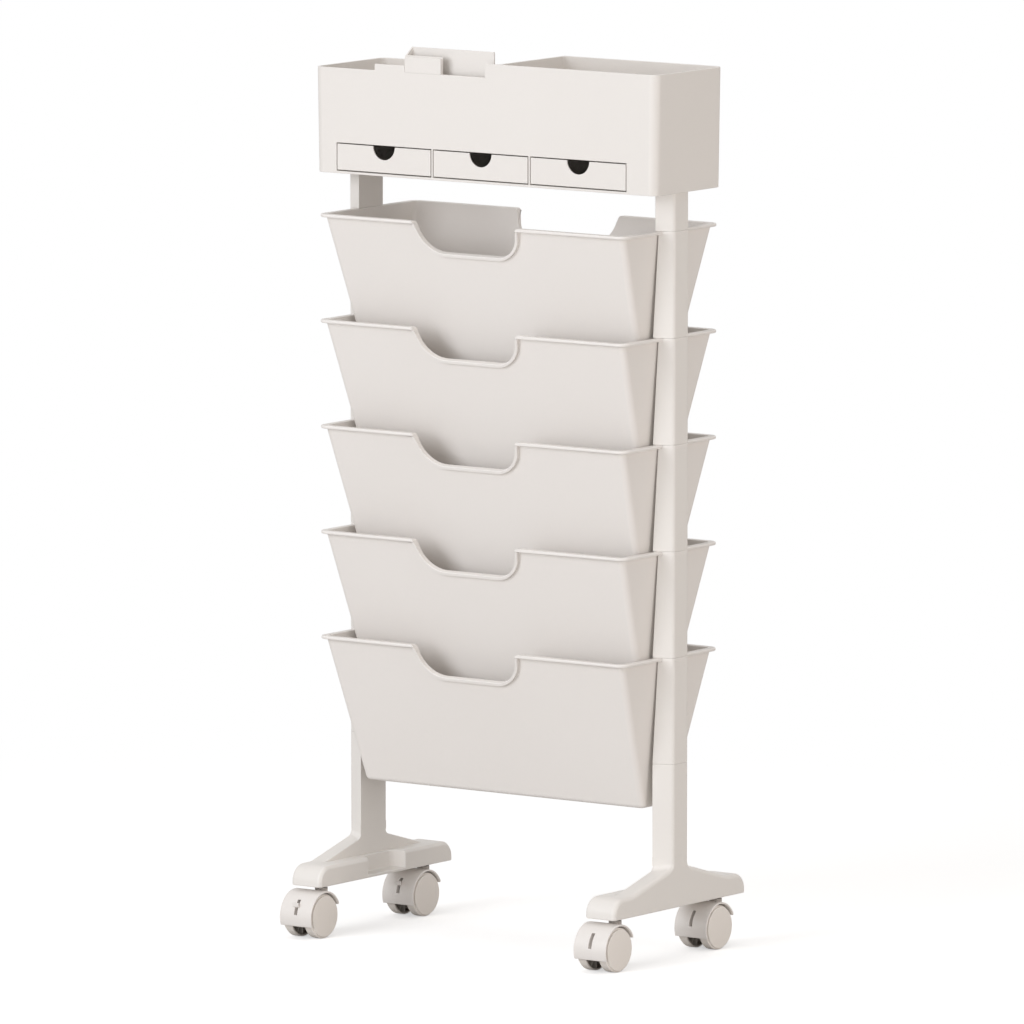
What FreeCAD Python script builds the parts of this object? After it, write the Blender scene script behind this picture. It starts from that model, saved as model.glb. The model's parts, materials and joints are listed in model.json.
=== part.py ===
import FreeCAD, Part
import math
import os
import Sketcher
from FreeCAD import Placement, Rotation, Vector

# Mobile bookcase: five nested book bins hung between two stacked plastic posts,
# a drawer organizer on top and a caster foot under each post.
# Millimetres. X runs to the right, Y to the back and Z up from the floor.

SIZES = {
    # posts
    "post_tuck": 9.7,           # how far a post's inner face lies under the end of a bin's rim
    "post_width": 21.2,
    "post_inner_depth": 46.8,   # the posts taper from the bins to the outside
    "post_outer_depth": 26.5,
    "post_round": 5.0,          # outer corners of posts and feet
    "post_lean": 5.2,           # how far a bin's post segment draws back at its top
    "tube_inset": 2.1,          # how far a top tube's inner face draws back
    "spigot_width": 7.0,
    "spigot_depth": 24.0,
    "spigot_inset": 6.7,        # spigot axis from the post's outer face
    "spigot_reach": 11.0,       # how far a spigot enters the piece above
    "socket_gap": 0.1,
    "socket_spare": 1.0,        # empty depth over the spigots that enter the organizer
    "post_cap": 4.0,            # solid top of each hollow post piece
    "leg_height": 100.5,
    "top_tube_height": 42.0,
    # bins
    "bin_count": 5.0,
    "bin_pitch": 114.5,
    "bin_height": 163.3,
    "rim_width": 406.0,
    "rim_depth": 180.0,
    "rim_flange": 5.5,
    "rim_thick": 3.5,
    "rim_round": 13.0,
    "end_draft": 13.0,          # how far each end wall draws in to the bottom
    "bin_bottom_depth": 56.0,
    "bin_round": 7.5,
    "bin_wall": 2.5,
    "notch_slant_end": -75.0,   # slanted end of the front notch at the rim
    "notch_square_end": 56.5,
    "notch_slant": 9.0,         # how far the slanted end draws in over the notch's depth
    "notch_depth": 35.5,        # measured along the leaning wall
    "notch_slant_round": 32.0,
    "notch_square_round": 20.0,
    "bead_width": 3.0,
    "bead_stand": 5.0,
    # feet
    "foot_half_length": 122.5,
    "foot_width": 39.5,
    "foot_ledge": 22.5,
    "foot_end_round": 18.0,
    "foot_bevel": 3.0,          # inner edges of the ledge
    "ridge_height": 41.0,
    "ridge_inset": 33.0,        # where the ridge runs out into the ledge, from the foot's end
    "ridge_blend": 36.0,
    "ridge_sweep": 6.0,         # concave sweep from ridge to post
    "collar_height": 54.8,
    "waist_half": 34.0,
    "waist_depth": 14.0,
    "waist_lip": 3.5,
    "waist_round": 9.0,
    # casters
    "stem_inset": 29.0,         # stem axis from the foot's end
    "stem_radius": 5.0,
    "stem_socket": 18.0,
    "stem_fit": 0.08,
    "stem_bush_radius": 7.0,    # upper end, pressed into the foot
    "stem_collar_thick": 2.5,   # how much of the bush shows under the foot
    "stem_end_gap": 0.5,
    "caster_trail": 20.0,
    "caster_width": 42.0,
    "hood_clearance": 1.5,      # between tread and hood
    "hood_wall": 2.0,
    "hood_headroom": 4.5,       # between hood and foot
    "hood_web": 16.0,
    "hood_front_angle": 20.0,   # how far the hood comes down below the axle in front
    "hood_back_angle": 26.0,    # where it stops above the axle behind
    "hood_belly": 9.0,
    "boss_radius": 7.0,
    "boss_gap": 1.5,            # between boss and stem collar
    "boss_rise": 4.5,           # boss underside above the axle
    "boss_floor": 1.5,
    "wheel_radius": 24.0,
    "wheel_gap": 0.6,
    "wheel_chamfer": 1.8,
    "axle_radius": 3.0,
    "axle_fit": 0.08,
    "axle_seat": 0.01,          # between the axle and its eye in the hood
    "axle_reach": 8.5,          # how far the axle enters each wheel
    "slot_width": 4.0,
    "slot_low": 3.0,            # slot ends above the axle
    "slot_high": 19.0,
    "slot_deep": 17.0,
    "lever_thick": 3.2,
    "lever_pivot_in": 12.5,     # pivot behind the hood's front
    "lever_pivot_rise": 9.0,    # pivot above the axle
    "lever_trunnion": 1.5,
    "lever_trunnion_span": 10.0,
    "lever_fit": 0.08,
    "lever_heel": 2.6,          # lever plate round the pivot
    "lever_tip_in": 1.5,        # tab end behind the hood's front
    "lever_tip_low": 12.0,      # tab above the axle
    "lever_tip_high": 16.5,
    # organizer
    "org_overhang": 8.75,       # how far the organizer stands out past each post
    "org_flare": 2.3,           # how far each end leans out at the top
    "org_depth": 125.0,
    "org_low": 114.0,
    "org_high": 129.0,
    "org_round": 10.0,
    "org_inner_round": 7.5,
    "org_wall": 2.5,
    "org_floor": 36.0,          # compartment floor above the organizer's underside
    "divider_x": 18.0,
    "step_left": -144.7,
    "step_mid": -105.0,
    "step_right": 1.2,
    "step_height": 7.0,
    "bay_count": 3.0,
    "bay_left": 27.75,          # outer bays from the organizer's ends
    "bay_right": 36.75,
    "bay_rib": 2.0,
    "bay_base": 2.6,
    "bay_height": 30.6,
    "drawer_side_gap": 0.7,
    "drawer_top_gap": 1.1,
    "drawer_base_gap": 0.3,
    "drawer_back_gap": 1.5,
    "drawer_wall": 2.0,
    "finger_radius": 14.5,
    # phone pocket
    "pocket_lap": 1.4,          # how far the pocket runs past the gap in the front wall
    "pocket_deep": 14.5,
    "pocket_wall": 2.0,
    "pocket_hang": 56.0,
    "pocket_front_rise": 17.0,
    "pocket_back_rise": 26.3,
    "pocket_plate": 48.0,       # width of the pocket's front plate
    "pocket_gap": 0.3,
}


class Size:
    """A length with its value and the sheet formula that gives it."""

    def __init__(self, value, formula):
        self.value = value
        self.formula = formula

    @staticmethod
    def of(thing):
        return thing if isinstance(thing, Size) else Size(float(thing), repr(float(thing)))

    def __add__(self, other):
        other = Size.of(other)
        return Size(self.value + other.value, f"({self.formula} + {other.formula})")

    def __sub__(self, other):
        other = Size.of(other)
        return Size(self.value - other.value, f"({self.formula} - {other.formula})")

    def __mul__(self, other):
        other = Size.of(other)
        return Size(self.value * other.value, f"({self.formula} * {other.formula})")

    def __truediv__(self, other):
        other = Size.of(other)
        return Size(self.value / other.value, f"({self.formula} / {other.formula})")

    def __neg__(self):
        return Size(-self.value, f"(0 - {self.formula})")

    __radd__ = __add__

    def __rsub__(self, other):
        return Size.of(other) - self

    __rmul__ = __mul__


def cosine(angle):
    return Size(math.cos(math.radians(angle.value)), f"cos({angle.formula} * 1deg)")


def sine(angle):
    return Size(math.sin(math.radians(angle.value)), f"sin({angle.formula} * 1deg)")


def slope_angle(run, rise):
    return Size(math.degrees(math.atan2(run.value, rise.value)), f"atan({run.formula} / {rise.formula})")


doc = FreeCAD.newDocument("mobile_bookcase")
sheet = doc.addObject("Spreadsheet::Sheet", "sizes")
for row, (alias, value) in enumerate(SIZES.items(), start=1):
    sheet.set(f"A{row}", alias)
    sheet.set(f"B{row}", str(value))
    sheet.setAlias(f"B{row}", alias)
doc.recompute()


class Sheet:
    """Reads a driving dimension by name."""

    def __getattr__(self, alias):
        return Size(float(SIZES[alias]), f"sizes.{alias}")


dim = Sheet()


# Modelling helpers

def new_body(label):
    body = doc.addObject("PartDesign::Body", label)
    body.Label = label
    return body


def new_sketch(body, plane, lift=None, tilt=None):
    """A sketch on one of the body's origin planes, lifted along and tilted about its own axes."""
    sketch = body.newObject("Sketcher::SketchObject", f"{body.Name}_sketch")
    role = f"{plane}_Plane"
    support = next(feature for feature in body.Origin.OriginFeatures if feature.Role == role)
    sketch.AttachmentSupport = [(support, "")]
    sketch.MapMode = "FlatFace"
    lift = Size.of(lift or 0)
    tilt = Size.of(tilt or 0)
    sketch.AttachmentOffset = Placement(Vector(0, 0, lift.value), Rotation(Vector(1, 0, 0), tilt.value))
    sketch.setExpression("AttachmentOffset.Base.z", lift.formula)
    if tilt.value:
        sketch.setExpression("AttachmentOffset.Rotation.Angle", tilt.formula)
    return sketch


def bind(sketch, kind, references, size):
    """Add a dimension to a sketch and tie it to the sheet."""
    size = Size.of(size)
    index = sketch.addConstraint(Sketcher.Constraint(kind, *references, size.value))
    name = f"d{index}"
    sketch.renameConstraint(index, name)
    sketch.setExpression(f"Constraints.{name}", size.formula)


def locate(sketch, geometry, point, x, y):
    bind(sketch, "DistanceX", (-1, 1, geometry, point), x)
    bind(sketch, "DistanceY", (-1, 1, geometry, point), y)


def outline(sketch, corners):
    """A closed outline through corners (x, y) or (x, y, radius), each radius a tangent arc."""
    sized = [tuple(Size.of(item) for item in corner) for corner in corners]
    spots = [Vector(corner[0].value, corner[1].value, 0) for corner in sized]
    count = len(spots)
    entries, leaves, arcs = [], [], []
    for i, spot in enumerate(spots):
        back = (spots[i - 1] - spot).normalize()
        ahead = (spots[(i + 1) % count] - spot).normalize()
        if len(sized[i]) < 3:
            entries.append(spot)
            leaves.append(spot)
            arcs.append(None)
            continue
        radius = sized[i][2].value
        half = back.getAngle(ahead) / 2
        reach = radius / math.tan(half)
        entries.append(spot + back * reach)
        leaves.append(spot + ahead * reach)
        centre = spot + (back + ahead).normalize() * (radius / math.sin(half))
        turn = back.cross(ahead).z
        first, last = (entries[i], leaves[i]) if turn < 0 else (leaves[i], entries[i])
        start = math.atan2(first.y - centre.y, first.x - centre.x)
        end = math.atan2(last.y - centre.y, last.x - centre.x)
        circle = Part.Circle(centre, Vector(0, 0, 1), radius)
        arcs.append((Part.ArcOfCircle(circle, start, end), 1 if turn < 0 else 2))
    lines = []
    for i in range(count):
        lines.append(sketch.addGeometry(Part.LineSegment(leaves[i], entries[(i + 1) % count]), False))
    for i in range(count):
        before = lines[i - 1]
        after = lines[i]
        if arcs[i] is None:
            sketch.addConstraint(Sketcher.Constraint("Coincident", before, 2, after, 1))
            locate(sketch, after, 1, sized[i][0], sized[i][1])
            continue
        curve, entry_end = arcs[i]
        arc = sketch.addGeometry(curve, False)
        corner = sketch.addGeometry(Part.Point(spots[i]), True)
        sketch.addConstraint(Sketcher.Constraint("Tangent", before, 2, arc, entry_end))
        sketch.addConstraint(Sketcher.Constraint("Tangent", after, 1, arc, 3 - entry_end))
        sketch.addConstraint(Sketcher.Constraint("PointOnObject", corner, 1, before))
        sketch.addConstraint(Sketcher.Constraint("PointOnObject", corner, 1, after))
        locate(sketch, corner, 1, sized[i][0], sized[i][1])
        bind(sketch, "Radius", (arc,), sized[i][2])


def rectangle(sketch, left, right, low, high, radius=None):
    corners = [(left, low), (right, low), (right, high), (left, high)]
    outline(sketch, [corner + (radius,) if radius is not None else corner for corner in corners])


def circle(sketch, x, y, radius):
    shape = Part.Circle(Vector(Size.of(x).value, Size.of(y).value, 0), Vector(0, 0, 1), radius.value)
    ring = sketch.addGeometry(shape, False)
    locate(sketch, ring, 3, x, y)
    bind(sketch, "Radius", (ring,), radius)


def extrude(kind, sketch, length, symmetric=False, reverse=False):
    body = sketch.getParentGeoFeatureGroup()
    feature = body.newObject(f"PartDesign::{kind}", f"{body.Name}_{kind.lower()}")
    feature.Profile = sketch
    length = Size.of(length)
    feature.setExpression("Length", length.formula)
    feature.Length = length.value
    feature.SideType = "Symmetric" if symmetric else "One side"
    feature.Reversed = reverse
    return feature


def pad(sketch, length, **options):
    return extrude("Pad", sketch, length, **options)


def pocket(sketch, length, **options):
    return extrude("Pocket", sketch, length, **options)


def wedge(kind, body, low, low_z, high, high_z):
    """A block with four leaning walls, between rectangles (left, right, front, back) at two heights."""
    feature = body.newObject(f"PartDesign::{kind}Wedge", f"{body.Name}_wedge")
    support = next(item for item in body.Origin.OriginFeatures if item.Role == "XY_Plane")
    feature.AttachmentSupport = [(support, "")]
    feature.MapMode = "FlatFace"
    feature.AttachmentOffset = Placement(Vector(0, 0, 0), Rotation(Vector(1, 0, 0), 90))
    faces = {"Ymin": low_z, "Xmin": low[0], "Xmax": low[1], "Zmin": -low[3], "Zmax": -low[2],
             "Ymax": high_z, "X2min": high[0], "X2max": high[1], "Z2min": -high[3], "Z2max": -high[2]}
    for name, size in faces.items():
        size = Size.of(size)
        setattr(feature, name, size.value)
        feature.setExpression(name, size.formula)
    return feature


def revolve(sketch):
    body = sketch.getParentGeoFeatureGroup()
    feature = body.newObject("PartDesign::Revolution", f"{body.Name}_turned")
    feature.Profile = sketch
    feature.ReferenceAxis = (sketch, ["H_Axis"])
    feature.Angle = 360
    return feature


def spin_pattern(body, originals, axis, count):
    pattern = body.newObject("PartDesign::PolarPattern", f"{body.Name}_pattern")
    pattern.Originals = originals
    spindle = next(feature for feature in body.Origin.OriginFeatures if feature.Role == f"{axis}_Axis")
    pattern.Axis = (spindle, [""])
    pattern.Angle = 360
    pattern.setExpression("Occurrences", Size.of(count).formula)
    pattern.Occurrences = int(Size.of(count).value)
    body.Tip = pattern
    return pattern


def round_edges(body, radius, chosen):
    """Round the edges of the body's last feature that the test picks."""
    doc.recompute()
    last = body.Tip
    names = [f"Edge{i}" for i, edge in enumerate(last.Shape.Edges, start=1) if chosen(edge)]
    fillet = body.newObject("PartDesign::Fillet", f"{body.Name}_round")
    fillet.Base = (last, names)
    fillet.setExpression("Radius", radius.formula)
    fillet.Radius = radius.value
    return fillet


def chamfer_edges(body, size, chosen):
    doc.recompute()
    last = body.Tip
    names = [f"Edge{i}" for i, edge in enumerate(last.Shape.Edges, start=1) if chosen(edge)]
    bevel = body.newObject("PartDesign::Chamfer", f"{body.Name}_bevel")
    bevel.Base = (last, names)
    bevel.setExpression("Size", size.formula)
    bevel.Size = size.value
    return bevel


def spans(edge):
    box = edge.BoundBox
    return box.XLength, box.YLength, box.ZLength


NEAR = 0.01


def near(a, b):
    return abs(a - Size.of(b).value) < NEAR


def place(body, x, y, z, turned=False):
    """Stand the body in the bookcase, turned half round for a left-hand piece."""
    body.Placement = Placement(Vector(0, 0, 0), Rotation(Vector(0, 0, 1), 180 if turned else 0))
    for axis, size in (("x", x), ("y", y), ("z", z)):
        body.setExpression(f"Placement.Base.{axis}", Size.of(size).formula)


# Sizes worked out from the driving dimensions

post_inner = dim.rim_width / 2 - dim.post_tuck
post_outer = post_inner + dim.post_width
spigot_x = post_outer - dim.spigot_inset
axle_z = dim.wheel_radius
hood_inner = dim.wheel_radius + dim.hood_clearance
hood_radius = hood_inner + dim.hood_wall
foot_underside = axle_z + hood_radius + dim.hood_headroom
collar_z = foot_underside + dim.collar_height
leg_top = collar_z + dim.leg_height
segment_height = dim.bin_pitch - dim.rim_thick
org_bottom = leg_top + dim.bin_pitch * dim.bin_count + dim.top_tube_height
foot_inner = post_outer - dim.foot_width
stem_x = post_outer - dim.foot_width / 2
stem_y = dim.foot_half_length - dim.stem_inset
boss_foot = axle_z + dim.boss_rise
boss_top = foot_underside - dim.stem_collar_thick - dim.boss_gap
# the casters trail forwards, so the posts stand this far behind the middle of the footprint
stand_y = (stem_y + dim.caster_trail + hood_radius - dim.foot_half_length) / 2


def rim_height(tier):
    """Top of a bin's rim, tier 0 being the lowest."""
    return leg_top + dim.bin_pitch * (tier + 1)


# Posts: legs, one segment under each bin, and top tubes under the organizer

def spigot_outline(sketch, gap):
    rectangle(sketch, spigot_x - dim.spigot_width / 2 - gap, spigot_x + dim.spigot_width / 2 + gap,
              -dim.spigot_depth / 2 - gap, dim.spigot_depth / 2 + gap)


def post_half(x):
    """Half the depth of a post at a distance from the bookcase's middle."""
    taper = (dim.post_inner_depth - dim.post_outer_depth) / (dim.post_width * 2)
    return dim.post_inner_depth / 2 - (x - post_inner) * taper


def post_outline(sketch, start):
    """Plan of a post from a given distance outwards."""
    half_start = post_half(start)
    half_end = dim.post_outer_depth / 2
    outline(sketch, [(start, -half_start), (post_outer, -half_end, dim.post_round),
                     (post_outer, half_end, dim.post_round), (start, half_start)])


def post_piece(label, z, height, inset, lean, spigot_height, turned):
    body = new_body(label)
    plan = new_sketch(body, "XY")
    post_outline(plan, post_inner + inset)
    pad(plan, height)
    if lean.value:
        bevel = new_sketch(body, "XZ")
        outline(bevel, [(post_inner, 0), (post_inner + lean * 2, height * 2), (post_inner - 1, height * 2),
                        (post_inner - 1, 0)])
        pocket(bevel, dim.post_inner_depth * 2, symmetric=True)
    spigot = new_sketch(body, "XY", height)
    spigot_outline(spigot, 0)
    pad(spigot, spigot_height)
    socket = new_sketch(body, "XY")
    spigot_outline(socket, dim.socket_gap)
    pocket(socket, height - dim.post_cap, reverse=True)
    place(body, 0, stand_y, z, turned)
    return body


def tab_spigot():
    """A spigot that first passes through a bin's tab."""
    return dim.rim_thick + dim.spigot_reach


posts = []
upright = Size.of(0)
tube_z = leg_top + dim.bin_pitch * dim.bin_count
for side, turned in (("left", True), ("right", False)):
    posts.append(post_piece(f"{side}_leg", collar_z, dim.leg_height, upright, upright,
                            dim.spigot_reach, turned))
    for tier in range(int(dim.bin_count.value)):
        seat = leg_top + dim.bin_pitch * tier
        posts.append(post_piece(f"{side}_post_segment_{tier + 1}", seat, segment_height, upright,
                                dim.post_lean, tab_spigot(), turned))
    posts.append(post_piece(f"{side}_top_tube", tube_z, dim.top_tube_height, dim.tube_inset, upright,
                            dim.spigot_reach, turned))


# Bins: drafted troughs with a flanged rim, a beaded notch in each long wall and a tab at each end

def book_bin(label, z):
    body = new_body(label)
    wall_x = dim.rim_width / 2 - dim.rim_flange
    wall_y = dim.rim_depth / 2 - dim.rim_flange
    half_x = wall_x - dim.end_draft
    half_y = dim.bin_bottom_depth / 2
    wedge("Additive", body, (-half_x, half_x, -half_y, half_y), -dim.bin_height,
          (-wall_x, wall_x, -wall_y, wall_y), Size.of(0))
    floor = dim.bin_wall / dim.bin_height
    low_x = half_x + (wall_x - half_x) * floor - dim.bin_wall
    low_y = half_y + (wall_y - half_y) * floor - dim.bin_wall
    mouth_x = wall_x - dim.bin_wall
    mouth_y = wall_y - dim.bin_wall
    wedge("Subtractive", body, (-low_x, low_x, -low_y, low_y), dim.bin_wall - dim.bin_height,
          (-mouth_x, mouth_x, -mouth_y, mouth_y), Size.of(0))
    inside = (mouth_x + low_x).value / 2 + NEAR
    round_edges(body, dim.bin_round - dim.bin_wall,
                lambda edge: spans(edge)[2] > dim.bin_height.value / 2
                and abs(edge.CenterOfMass.x) < inside)
    round_edges(body, dim.bin_round,
                lambda edge: spans(edge)[2] > dim.bin_height.value - NEAR
                and abs(edge.CenterOfMass.x) > inside)

    # the flange turns out of the wall all round the mouth
    rim = new_sketch(body, "XY")
    rim_x = dim.rim_width / 2
    rim_y = dim.rim_depth / 2
    rectangle(rim, -rim_x, rim_x, -rim_y, rim_y, dim.rim_round)
    bite = dim.bin_wall * 0.8
    rectangle(rim, bite - wall_x, wall_x - bite, bite - wall_y, wall_y - bite, dim.bin_round - bite)
    pad(rim, dim.rim_thick, reverse=True)

    # bead and notch are drawn on the leaning front wall
    lean = slope_angle(wall_y - half_y, dim.bin_height)
    plate = new_sketch(body, "XZ", wall_y, lean)
    left = dim.notch_slant_end
    right = dim.notch_square_end
    foot_left = left + dim.notch_slant
    outline(plate, [(left - dim.bead_width, 0),
                    (foot_left - dim.bead_width, -dim.notch_depth - dim.bead_width,
                     dim.notch_slant_round + dim.bead_width),
                    (right + dim.bead_width, -dim.notch_depth - dim.bead_width,
                     dim.notch_square_round + dim.bead_width),
                    (right + dim.bead_width, 0)])
    bead = pad(plate, dim.bead_stand)
    opening = new_sketch(body, "XZ", wall_y, lean)
    overcut = dim.rim_flange * 2
    lead = dim.notch_slant * overcut / dim.notch_depth
    outline(opening, [(left - lead, overcut),
                      (foot_left, -dim.notch_depth, dim.notch_slant_round),
                      (right, -dim.notch_depth, dim.notch_square_round),
                      (right, overcut)])
    notch = pocket(opening, overcut * 2, symmetric=True)

    # the tab lies between two post segments, round the spigot of the lower one
    tab_sketch = new_sketch(body, "XY")
    post_outline(tab_sketch, rim_x - dim.rim_flange / 2)
    tab = pad(tab_sketch, dim.rim_thick, reverse=True)
    eye = new_sketch(body, "XY")
    spigot_outline(eye, dim.socket_gap)
    hole = pocket(eye, dim.rim_thick)
    spin_pattern(body, [bead, notch, tab, hole], "Z", 2)
    place(body, 0, stand_y, z)
    return body


bins = [book_bin(f"book_bin_{tier + 1}", rim_height(tier)) for tier in range(int(dim.bin_count.value))]


# Feet: a long caster foot with a ridge that sweeps up into the post

def foot(label, turned):
    body = new_body(label)
    length = dim.foot_half_length
    base = new_sketch(body, "YZ", foot_inner)
    outline(base, [(-length, 0), (length, 0), (length, dim.foot_ledge, dim.foot_end_round),
                   (-length, dim.foot_ledge, dim.foot_end_round)])
    pad(base, dim.foot_width)
    ridge = new_sketch(body, "YZ", post_inner)
    reach = length - dim.ridge_inset
    half_inner = dim.post_inner_depth / 2
    half_outer = dim.post_outer_depth / 2
    climb = (dim.ridge_height - dim.foot_ledge) / (reach - half_inner)
    crest = dim.ridge_height + climb * (half_inner - half_outer)
    outline(ridge, [(-length, 0), (length, 0), (length, dim.foot_ledge, dim.foot_end_round),
                    (reach, dim.foot_ledge, dim.ridge_blend), (half_outer, crest), (-half_outer, crest),
                    (-reach, dim.foot_ledge, dim.ridge_blend), (-length, dim.foot_ledge, dim.foot_end_round)])
    pad(ridge, dim.post_width)
    neck = new_sketch(body, "XY")
    outline(neck, [(post_inner, -half_inner), (post_outer, -half_outer), (post_outer, half_outer),
                   (post_inner, half_inner)])
    pad(neck, dim.collar_height)
    round_edges(body, dim.ridge_sweep,
                lambda edge: spans(edge)[0] > dim.post_width.value - NEAR
                and NEAR < spans(edge)[2] < dim.ridge_height.value
                and edge.CenterOfMass.z > dim.ridge_height.value)
    # the outer edge is rounded all along, from the nose up to the post
    round_edges(body, dim.post_round,
                lambda edge: spans(edge)[0] < NEAR and near(edge.CenterOfMass.x, post_outer)
                and NEAR < edge.CenterOfMass.z < dim.collar_height.value - NEAR)
    chamfer_edges(body, dim.foot_bevel,
                  lambda edge: spans(edge)[0] < NEAR and near(edge.CenterOfMass.x, foot_inner)
                  and edge.CenterOfMass.z > NEAR)
    waist = new_sketch(body, "XY", dim.waist_lip)
    flare = dim.waist_round
    outline(waist, [(foot_inner - 1, -dim.waist_half - flare), (foot_inner, -dim.waist_half),
                    (foot_inner + dim.waist_depth, -dim.waist_half + flare, dim.waist_round),
                    (foot_inner + dim.waist_depth, dim.waist_half - flare, dim.waist_round),
                    (foot_inner, dim.waist_half), (foot_inner - 1, dim.waist_half + flare)])
    pocket(waist, dim.foot_ledge, reverse=True)
    spigot = new_sketch(body, "XY", dim.collar_height)
    spigot_outline(spigot, 0)
    pad(spigot, dim.spigot_reach)
    sockets = new_sketch(body, "XY")
    for end in (-1, 1):
        circle(sockets, stem_x, stem_y * end, dim.stem_bush_radius + dim.stem_fit)
    pocket(sockets, dim.stem_socket, reverse=True)
    place(body, 0, stand_y, foot_underside, turned)
    return body


feet = [foot("left_foot", True), foot("right_foot", False)]


# Casters: a steel stem, a hood that swivels on it, an axle, two wheels and on the left a toe brake

def caster_stem(label):
    body = new_body(label)
    profile = new_sketch(body, "XZ")
    low = boss_foot + dim.boss_floor + dim.stem_end_gap
    shoulder = foot_underside - dim.stem_collar_thick
    top = foot_underside + dim.stem_socket
    outline(profile, [(0, low), (dim.stem_radius, low), (dim.stem_radius, shoulder),
                      (dim.stem_bush_radius, shoulder), (dim.stem_bush_radius, top), (0, top)])
    turned = revolve(profile)
    turned.ReferenceAxis = (profile, ["V_Axis"])
    return body


def caster_hood(label, braked):
    body = new_body(label)
    axle_y = -dim.caster_trail
    reach = hood_radius
    side = new_sketch(body, "YZ")
    hood_outline(side, axle_y, reach)
    pad(side, dim.caster_width, symmetric=True)
    for end in (-1, 1):
        well = new_sketch(body, "YZ", dim.caster_width / 2 * end)
        circle(well, axle_y, axle_z, hood_inner)
        pocket(well, (dim.caster_width - dim.hood_web) / 2, reverse=end < 0)
    boss = new_sketch(body, "XY", boss_foot)
    circle(boss, 0, 0, dim.boss_radius)
    pad(boss, boss_top - boss_foot)
    bore = new_sketch(body, "XY", boss_top)
    circle(bore, 0, 0, dim.stem_radius + dim.stem_fit)
    pocket(bore, boss_top - boss_foot - dim.boss_floor)
    eye = new_sketch(body, "YZ")
    circle(eye, axle_y, axle_z, dim.axle_radius + dim.axle_seat)
    pocket(eye, dim.hood_web + 1, symmetric=True)
    slot = new_sketch(body, "XZ", dim.caster_trail + reach)
    rectangle(slot, -dim.slot_width / 2, dim.slot_width / 2, axle_z + dim.slot_low, axle_z + dim.slot_high)
    pocket(slot, dim.slot_deep)
    if braked:
        pivot = new_sketch(body, "YZ")
        circle(pivot, axle_y - reach + dim.lever_pivot_in, axle_z + dim.lever_pivot_rise,
               dim.lever_trunnion + dim.lever_fit)
        pocket(pivot, dim.lever_trunnion_span + 1, symmetric=True)
    return body


def hood_outline(sketch, axle_y, radius):
    """Side view of the hood: an arc over the wheels, closed under the axle."""
    front_y = axle_y - radius * cosine(dim.hood_front_angle)
    front_z = axle_z - radius * sine(dim.hood_front_angle)
    back_y = axle_y + radius * cosine(dim.hood_back_angle)
    back_z = axle_z + radius * sine(dim.hood_back_angle)
    belly_z = axle_z - dim.hood_belly
    belly_y = axle_y + dim.hood_belly
    centre = Vector(axle_y.value, axle_z.value, 0)
    start = math.radians(dim.hood_back_angle.value)
    end = math.radians(180 + dim.hood_front_angle.value)
    ring = Part.Circle(centre, Vector(0, 0, 1), radius.value)
    arc = sketch.addGeometry(Part.ArcOfCircle(ring, start, end), False)
    stops = [(front_y, front_z), (belly_y, belly_z), (back_y, back_z)]
    spots = [Vector(y.value, z.value, 0) for y, z in stops]
    under = sketch.addGeometry(Part.LineSegment(spots[0], spots[1]), False)
    rear = sketch.addGeometry(Part.LineSegment(spots[1], spots[2]), False)
    sketch.addConstraint(Sketcher.Constraint("Coincident", arc, 2, under, 1))
    sketch.addConstraint(Sketcher.Constraint("Coincident", under, 2, rear, 1))
    sketch.addConstraint(Sketcher.Constraint("Coincident", rear, 2, arc, 1))
    locate(sketch, arc, 3, axle_y, axle_z)
    bind(sketch, "Radius", (arc,), radius)
    locate(sketch, rear, 1, belly_y, belly_z)
    bind(sketch, "DistanceY", (-1, 1, under, 1), front_z)
    bind(sketch, "DistanceY", (-1, 1, arc, 1), back_z)


def caster_axle(label):
    body = new_body(label)
    section = new_sketch(body, "YZ")
    circle(section, 0, 0, dim.axle_radius)
    pad(section, dim.hood_web + dim.axle_reach * 2, symmetric=True)
    return body


def caster_wheel(label):
    """A wheel on the +X side of its caster, with a blind bore that leaves its outer face whole."""
    body = new_body(label)
    inner = dim.hood_web / 2 + dim.wheel_gap
    outer = dim.caster_width / 2
    bore = dim.axle_radius + dim.axle_fit
    bore_end = dim.hood_web / 2 + dim.axle_reach + dim.wheel_gap
    section = new_sketch(body, "XY")
    outline(section, [(inner, bore), (inner, dim.wheel_radius),
                      (outer - dim.wheel_chamfer, dim.wheel_radius),
                      (outer, dim.wheel_radius - dim.wheel_chamfer),
                      (outer, 0), (bore_end, 0), (bore_end, bore)])
    revolve(section)
    return body


def brake_lever(label):
    """A flat rocker in the hood's slot, with trunnions and a tab for the toe."""
    body = new_body(label)
    face_y = -dim.caster_trail - hood_radius
    pivot_y = face_y + dim.lever_pivot_in
    pivot_z = axle_z + dim.lever_pivot_rise
    tip_y = face_y + dim.lever_tip_in
    heel_y = pivot_y + dim.lever_heel
    arm = new_sketch(body, "YZ")
    outline(arm, [(heel_y, pivot_z - dim.lever_heel), (heel_y, pivot_z + dim.lever_heel),
                  (pivot_y, pivot_z + dim.lever_heel), (tip_y, axle_z + dim.lever_tip_high),
                  (tip_y, axle_z + dim.lever_tip_low), (pivot_y, pivot_z - dim.lever_heel)])
    pad(arm, dim.lever_thick, symmetric=True)
    trunnion = new_sketch(body, "YZ")
    circle(trunnion, pivot_y, pivot_z, dim.lever_trunnion)
    pad(trunnion, dim.lever_trunnion_span, symmetric=True)
    return body


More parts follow.
